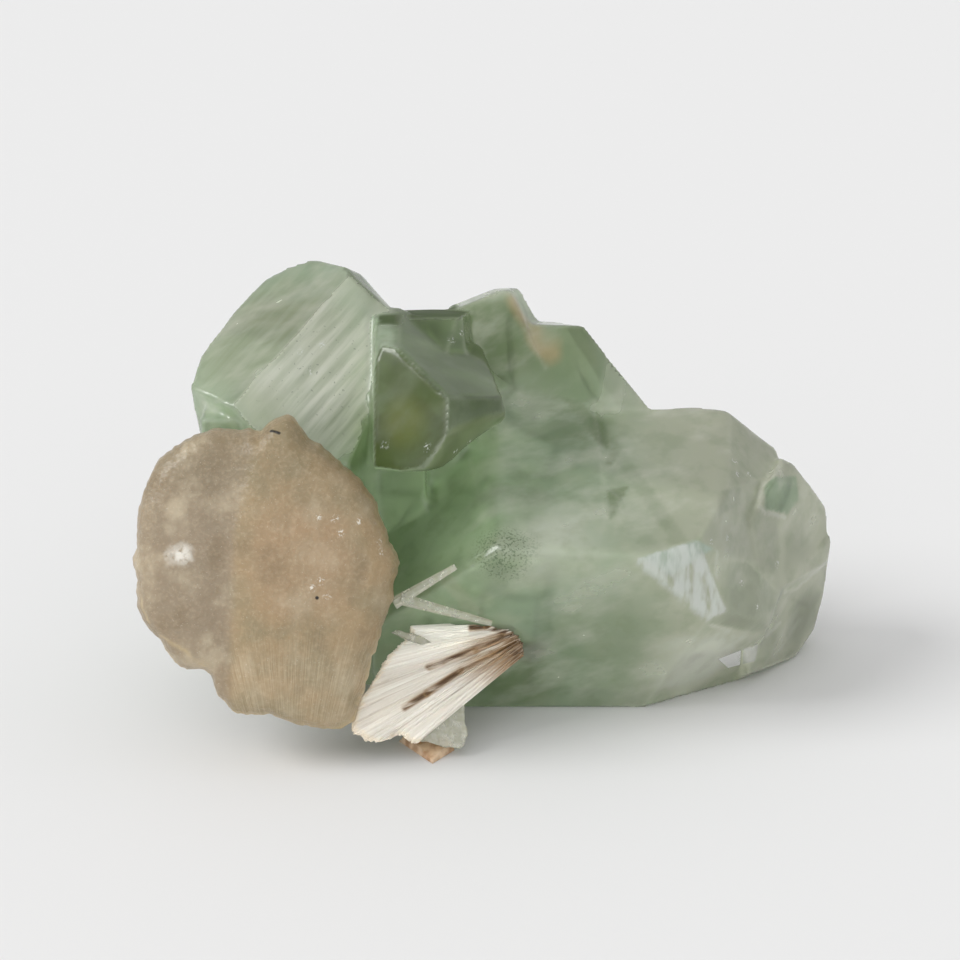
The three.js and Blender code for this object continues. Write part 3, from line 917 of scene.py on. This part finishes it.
# %% Needles from hem to stem
NEEDLE_SIZES = {"Vertices": 5, "Side Segments": 3, "Radius Top": 0.6, "Radius Bottom": 1.0, "Depth": 1.0}
NEEDLE_WIDTHS = (0.6, 0.9)
STEM_TUFTS = 9
FAN_SIZES = {
    "Needles": 1400, "Radius": 0.13 * MM, "Scatter": 0.2 * MM, "Stem scatter": 0.6 * MM, "Stem ends": 2.4 * MM,
    "Seed": 11,
}
FAN_SOCKETS = {
    "Hem": "Geometry", "Stem start": "Vector", "Stem end": "Vector", "Needles": "Int", "Radius": "Float",
    "Scatter": "Float", "Stem scatter": "Float", "Stem ends": "Float", "Seed": "Int", "Finish": "Material",
}


def one_needle(graph):
    """A tapered needle of unit length from its tip, with its share of the way from stem to tip kept."""
    needle = graph.node("GeometryNodeMeshCone", {"fill_type": "TRIANGLE_FAN"}, NEEDLE_SIZES, "Mesh")
    height = graph.node("ShaderNodeSeparateXYZ", {}, {0: graph.node("GeometryNodeInputPosition", {}, {})}, "Z")
    return kept(graph, needle, "along", 1 - height)


def kept(graph, geometry, name, value):
    """The geometry with a value stored under a name."""
    stored = {"Geometry": geometry, "Name": name, "Value": value}
    return graph.node("GeometryNodeStoreNamedAttribute", {"data_type": "FLOAT", "domain": "POINT"}, stored)


def scaled(graph, way, factor):
    """A direction made longer or shorter by a factor."""
    return graph.node("ShaderNodeVectorMath", {"operation": "SCALE"}, {0: way, "Scale": factor})


def needle_fan():
    """Geometry Nodes that set needles between a stem and the curve that they are given."""
    tree = bpy.data.node_groups.new("needle fan", "GeometryNodeTree")
    for name, kind in FAN_SOCKETS.items():
        tree.interface.new_socket(name, in_out="INPUT", socket_type="NodeSocket" + kind)
    tree.interface.new_socket("Fan", in_out="OUTPUT", socket_type="NodeSocketGeometry")
    graph = Graph(tree)
    entry = tree.nodes.new("NodeGroupInput")
    given = {name: Field(graph, entry.outputs[name]) for name in FAN_SOCKETS}
    spaced = graph.node("GeometryNodeResampleCurve", {}, {"Curve": given["Hem"], "Count": given["Needles"]})
    tips = graph.node("GeometryNodeCurveToPoints", {"mode": "EVALUATED"}, {"Curve": spaced})
    share = graph.node("GeometryNodeInputIndex", {}, {}) / given["Needles"]
    spread = {"Min": (-1, -1, -1), "Max": (1, 1, 1), "Seed": given["Seed"]}
    scatter = graph.node("FunctionNodeRandomValue", {"data_type": "FLOAT_VECTOR"}, spread)
    shift = scaled(graph, scatter, given["Scatter"])
    sway = scaled(graph, scatter, given["Stem scatter"])
    tone = graph.node("FunctionNodeRandomValue", {"data_type": "FLOAT"}, {2: 0, 3: 1, "Seed": given["Seed"]}, 1)
    tips = kept(graph, kept(graph, tips, "across_fan", share), "tone", tone)
    tips = graph.node("GeometryNodeSetPosition", {}, {"Geometry": tips, "Offset": shift})
    stem_mix = {0: share, 4: given["Stem start"], 5: given["Stem end"]}
    foot = graph.vector("ADD", graph.node("ShaderNodeMix", {"data_type": "VECTOR"}, stem_mix, 1), sway)
    way = graph.vector("SUBTRACT", foot, graph.node("GeometryNodeInputPosition", {}, {}))
    tufts = {"W": share * STEM_TUFTS, "Scale": 1, "Detail": 4}
    tufts = graph.node("ShaderNodeTexNoise", {"noise_dimensions": "1D"}, tufts)
    longer = scaled(graph, graph.vector("NORMALIZE", way), (tufts - 0.5) * given["Stem ends"])
    way = graph.vector("ADD", way, longer)
    facing = graph.node("FunctionNodeAlignRotationToVector", {"axis": "Z"}, {"Vector": way})
    width = given["Radius"] * (NEEDLE_WIDTHS[0] + tone * NEEDLE_WIDTHS[1])
    length = graph.vector("LENGTH", way, output="Value")
    size = graph.node("ShaderNodeCombineXYZ", {}, {0: width, 1: width, 2: length})
    copies = {"Points": tips, "Instance": one_needle(graph), "Rotation": facing, "Scale": size}
    fan = graph.node("GeometryNodeInstanceOnPoints", {}, copies)
    fan = graph.node("GeometryNodeRealizeInstances", {}, {"Geometry": fan})
    fan = graph.node("GeometryNodeSetMaterial", {}, {"Geometry": fan, "Material": given["Finish"]})
    leave = tree.nodes.new("NodeGroupOutput")
    tree.links.new(fan.socket, leave.inputs["Fan"])
    return tree


def grown(name, curve, tree, inputs):
    """The plain mesh that a Geometry Nodes tree makes from a curve."""
    made = linked(name, curve)
    modifier = made.modifiers.new(name, "NODES")
    modifier.node_group = tree
    for item in tree.interface.items_tree:
        if item.in_out == "INPUT" and item.name in inputs:
            modifier[item.identifier] = inputs[item.name]
    return settled(made)


print("needle fan takes", ", ".join(FAN_SOCKETS))

# %% [markdown]
# Scolecite is silky white. Near the stem the needles are stained brown, and brown streaks run out along the fan. The
# finish reads how far along its needle a point lies, and how far across the fan that needle grew. The streaks are
# lines on the plane of the fan, so the height of a needle over that plane is left out of their distance.

# %% Scolecite finish and the fan
SILK = srgb(255, 254, 246)
SILK_SHADE = srgb(204, 194, 180)
HEM_CREAM = srgb(240, 222, 192)
BROWN = srgb(156, 122, 78)
DARK_BROWN = srgb(78, 50, 18)
STREAKS = [
    ([(404, 708), (426, 694), (460, 671)], 0.9), ([(460, 671), (490, 655), (515, 645)], 0.5),
    ([(428, 668), (474, 651), (500, 638)], 1.0), ([(470, 629), (485, 628), (502, 633)], 0.9),
]
STREAK_REACH = 0.75
STREAK_RUN = [(428, 668), (474, 651)]
BAND_PITCH = 22
STAIN_PITCH = (40, 3)

scolecite = Finish("scolecite")
over_fan = scolecite.dot(scolecite.vector("SUBTRACT", scolecite.place, FAN_STEM / MM), fan_normal)
scolecite.place = scolecite.vector("MULTIPLY_ADD", fan_normal, over_fan * -1, scolecite.place)
along = scolecite.attribute("along")
tone = scolecite.attribute("tone")
strand = scolecite.attribute("across_fan")
band_place = scolecite.node("ShaderNodeCombineXYZ", {}, {0: strand * BAND_PITCH})
bands = scolecite.node("ShaderNodeTexNoise", {}, {"Vector": band_place, "Scale": 1, "Detail": 3})
shade = (bands.smooth(0.35, 0.65) * 0.7 + tone * 0.25) * (0.15 + 0.85 * strand.smooth(0.05, 0.35))
scolecite.colour = scolecite.blend(shade.held(), SILK, SILK_SHADE)
scolecite.tint(along.smooth(0.97, 1.0) * 0.4, HEM_CREAM)
stain_inputs = {0: strand * STAIN_PITCH[0], 1: along * STAIN_PITCH[1]}
stain_place = scolecite.node("ShaderNodeCombineXYZ", {}, stain_inputs)
stains = scolecite.node("ShaderNodeTexNoise", {}, {"Vector": stain_place, "Scale": 1, "Detail": 4})
stained = along.smooth(0.5, 0.1) * stains.smooth(0.25, 0.5) * strand.smooth(0.1, 0.35)
scolecite.tint((stained * (0.7 + 0.3 * tone)).held(), BROWN)
streak_way = (on_fan(*STREAK_RUN[1]) - on_fan(*STREAK_RUN[0])).normalized()
frayed = scolecite.noise(2.5, detail=4, axis=streak_way, length=8).smooth(0.35, 0.6)
for pixels, share in STREAKS:
    places = [on_fan(*pixel) / MM for pixel in pixels]
    for start, end in zip(places, places[1:]):
        streak = scolecite.beside(start, end, 0.0, STREAK_REACH)
        scolecite.tint(streak.smooth(0.1, 0.9) * share * (0.4 + 0.6 * frayed), BROWN)
        scolecite.tint(streak.smooth(0.55, 1.0) * frayed * share, DARK_BROWN)
scolecite.tint(along.smooth(0.16, 0.0) * stains.smooth(0.35, 0.6), DARK_BROWN)
scolecite_material = scolecite.surface(
    {
        "Base Color": scolecite.colour,
        "Roughness": 0.34 + tone * 0.2,
        "IOR": 1.52,
        "Subsurface Weight": 0.3,
        "Subsurface Radius": (1.0, 0.9, 0.8),
        "Subsurface Scale": MM,
    },
)
fan_inputs = {**FAN_SIZES, "Finish": scolecite_material}
fan_inputs["Stem start"] = on_fan(*STEM[0])
fan_inputs["Stem end"] = on_fan(*STEM[1])
fan_mesh = grown("fan", hem_curve, needle_fan(), fan_inputs)
finished("scolecite_fan", fan_mesh, scolecite_material, "scolecite", "scolecite_spray")

# %% [markdown]
# Two clear scolecite blades lie in a V above the fan. They are the solids' own bars with worn edges. The fan itself
# ends on the right in a clear flap, and a small clear blade crosses its upper edge. Both are thin slabs beside the
# plane of the fan, the flap behind it and the small blade in front, remeshed and rippled a little. Their finish is
# frosted glass.

# %% The clear blades
BLADE_EDGE = 0.08 * MM
FLAP = [
    (417, 739), (438, 745), (457, 748), (465, 746), (468, 735), (466, 725), (465, 711), (465, 699), (456, 697),
    (438, 716),
]
SLIVER = [(391, 633), (396, 631), (418, 637), (440, 647), (436, 651), (415, 644)]
FLAP_LIFT = -0.25 * MM
SLIVER_LIFT = 0.3 * MM
SLAB_HALF = 0.22 * MM
SLAB_VOXEL = 0.1 * MM
RIPPLE_DEPTH = 0.16
RIPPLE_PITCH = 0.8
CLEAR = srgb(226, 226, 204)
CLEAR_FROST = srgb(250, 248, 236)


def slab(outline, way):
    """A closed slab: an outline of points, drawn out both ways."""
    shape = bmesh.new()
    near_ring = [shape.verts.new(point - way) for point in outline]
    far_ring = [shape.verts.new(point + way) for point in outline]
    shape.faces.new(near_ring)
    shape.faces.new(far_ring[::-1])
    for index, vertex in enumerate(near_ring):
        after = (index + 1) % len(outline)
        shape.faces.new((vertex, far_ring[index], far_ring[after], near_ring[after]))
    bmesh.ops.recalc_face_normals(shape, faces=shape.faces)
    return mesh_of(shape, "slab")


def rippled(outline, lift):
    """A thin, rippled sheet inside an outline of pixels, lifted off the plane of the fan to its front."""
    corners = [on_fan(*pixel) + fan_front * lift for pixel in outline]
    sheet = remeshed(slab(corners, fan_normal * SLAB_HALF), SLAB_VOXEL, smoothing=3)
    points, directions = mesh_points(sheet)
    ripples = cloud_noise(points, RIPPLE_PITCH, falloff=0.8, octaves=3)
    moved(sheet, points + directions * (RIPPLE_DEPTH * ripples)[:, None])
    return sheet


shape = welded("scolecite_needles")
blade_edges = [edge for edge in shape.edges if edge.is_manifold and edge.calc_face_angle() > SHARP]
bmesh.ops.bevel(shape, geom=blade_edges, offset=BLADE_EDGE, segments=1, affect="EDGES", clamp_overlap=True)
blades = mesh_of(shape, "clear blades")

clear = Finish("clear_scolecite")
frost = clear.noise(1.5, detail=4)
clear_material = clear.surface(
    {
        "Base Color": clear.blend(frost.smooth(0.3, 0.7), CLEAR, CLEAR_FROST),
        "Roughness": 0.15 + frost * 0.2,
        "IOR": 1.52,
        "Transmission Weight": 0.65,
    },
)
finished("clear_blades", blades, clear_material, "clear_scolecite", "scolecite_needles")
finished("fan_flap", rippled(FLAP, FLAP_LIFT), clear_material, "clear_scolecite")
finished("fan_sliver", rippled(SLIVER, SLIVER_LIFT), clear_material, "clear_scolecite")

# %% [markdown]
# A tan chip of mineral lies under the fan. A fine remesh and a noise turn its plain faces into a rough break.

# %% The tan chip
CHIP_VOXEL = 0.09 * MM
CHIP_DEPTH = 0.04
CHIP_PITCH = 0.9
TAN = srgb(176, 138, 104)
PALE_TAN = srgb(220, 194, 164)

chip = remeshed(mesh_of(welded("tan_splinter"), "chip"), CHIP_VOXEL, smoothing=1)
chip_points, chip_normals = mesh_points(chip)
rough = cloud_noise(chip_points, CHIP_PITCH, falloff=1, octaves=4)
above_floor = np.clip(chip_points[:, 2], 0, 1)
moved(chip, chip_points + chip_normals * (CHIP_DEPTH * rough * above_floor)[:, None])

tan = Finish("tan_mineral")
grain = tan.noise(0.8, detail=5)
tan_material = tan.surface(
    {
        "Base Color": tan.blend(grain.smooth(0.35, 0.65), TAN, PALE_TAN),
        "Roughness": 0.45 + grain * 0.2,
        "IOR": 1.5,
        "Subsurface Weight": 0.5,
        "Subsurface Radius": (1.6, 1.2, 0.8),
        "Subsurface Scale": MM,
        "Normal": tan.bump(grain, 0.05),
    },
)
finished("tan_chip", chip, tan_material, "tan_mineral", "tan_splinter")

# %% [markdown]
# The stage is a plain pale floor under a soft key light from the upper left, a softer fill from the front and a pale
# sky. A sun lamp with a wide angle works as a large soft box here, because its light has the same strength all over.
# Standard view colours keep the floor as pale as the photograph's.

# %% Floor and light
FLOOR_SIDE = 8.0
FLOOR_COLOUR = srgb(230, 230, 230)
SKY = (1.0, 1.0, 1.0, 1)
SKY_STRENGTH = 0.64
LIGHTS = {
    "key": (Vector((-0.6, -0.12, 0.5)), math.radians(30), 1.6),
    "fill": (Vector((-0.15, -0.8, 0.45)), math.radians(70), 0.7),
}

floor_mesh = bpy.data.meshes.new("floor")
half = FLOOR_SIDE / 2
corners = [(-half, -half, 0), (half, -half, 0), (half, half, 0), (-half, half, 0)]
floor_mesh.from_pydata(corners, [], [(0, 1, 2, 3)])
floor_finish = Finish("floor")
floor_mesh.materials.append(floor_finish.surface({"Base Color": FLOOR_COLOUR, "Roughness": 0.8}))
floor = linked("floor", floor_mesh)
floor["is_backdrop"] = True

world = bpy.data.worlds.new("sky")
scene.world = world
world.use_nodes = True
background = world.node_tree.nodes["Background"]
background.inputs["Color"].default_value = SKY
background.inputs["Strength"].default_value = SKY_STRENGTH

for name, (place, spread, strength) in LIGHTS.items():
    lamp = bpy.data.lights.new(name, "SUN")
    lamp.angle = spread
    lamp.energy = strength
    light = linked(name, lamp)
    light.location = place
    light.rotation_euler = (-place).to_track_quat("-Z", "Y").to_euler()
scene.view_settings.view_transform = "Standard"
print("lights:", ", ".join(LIGHTS))

# %% [markdown]
# Last, the size of the dressed specimen is printed.

# %% Sizes and finish
low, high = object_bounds()
print("dressed size in mm:", [round(side / MM, 1) for side in high - low])
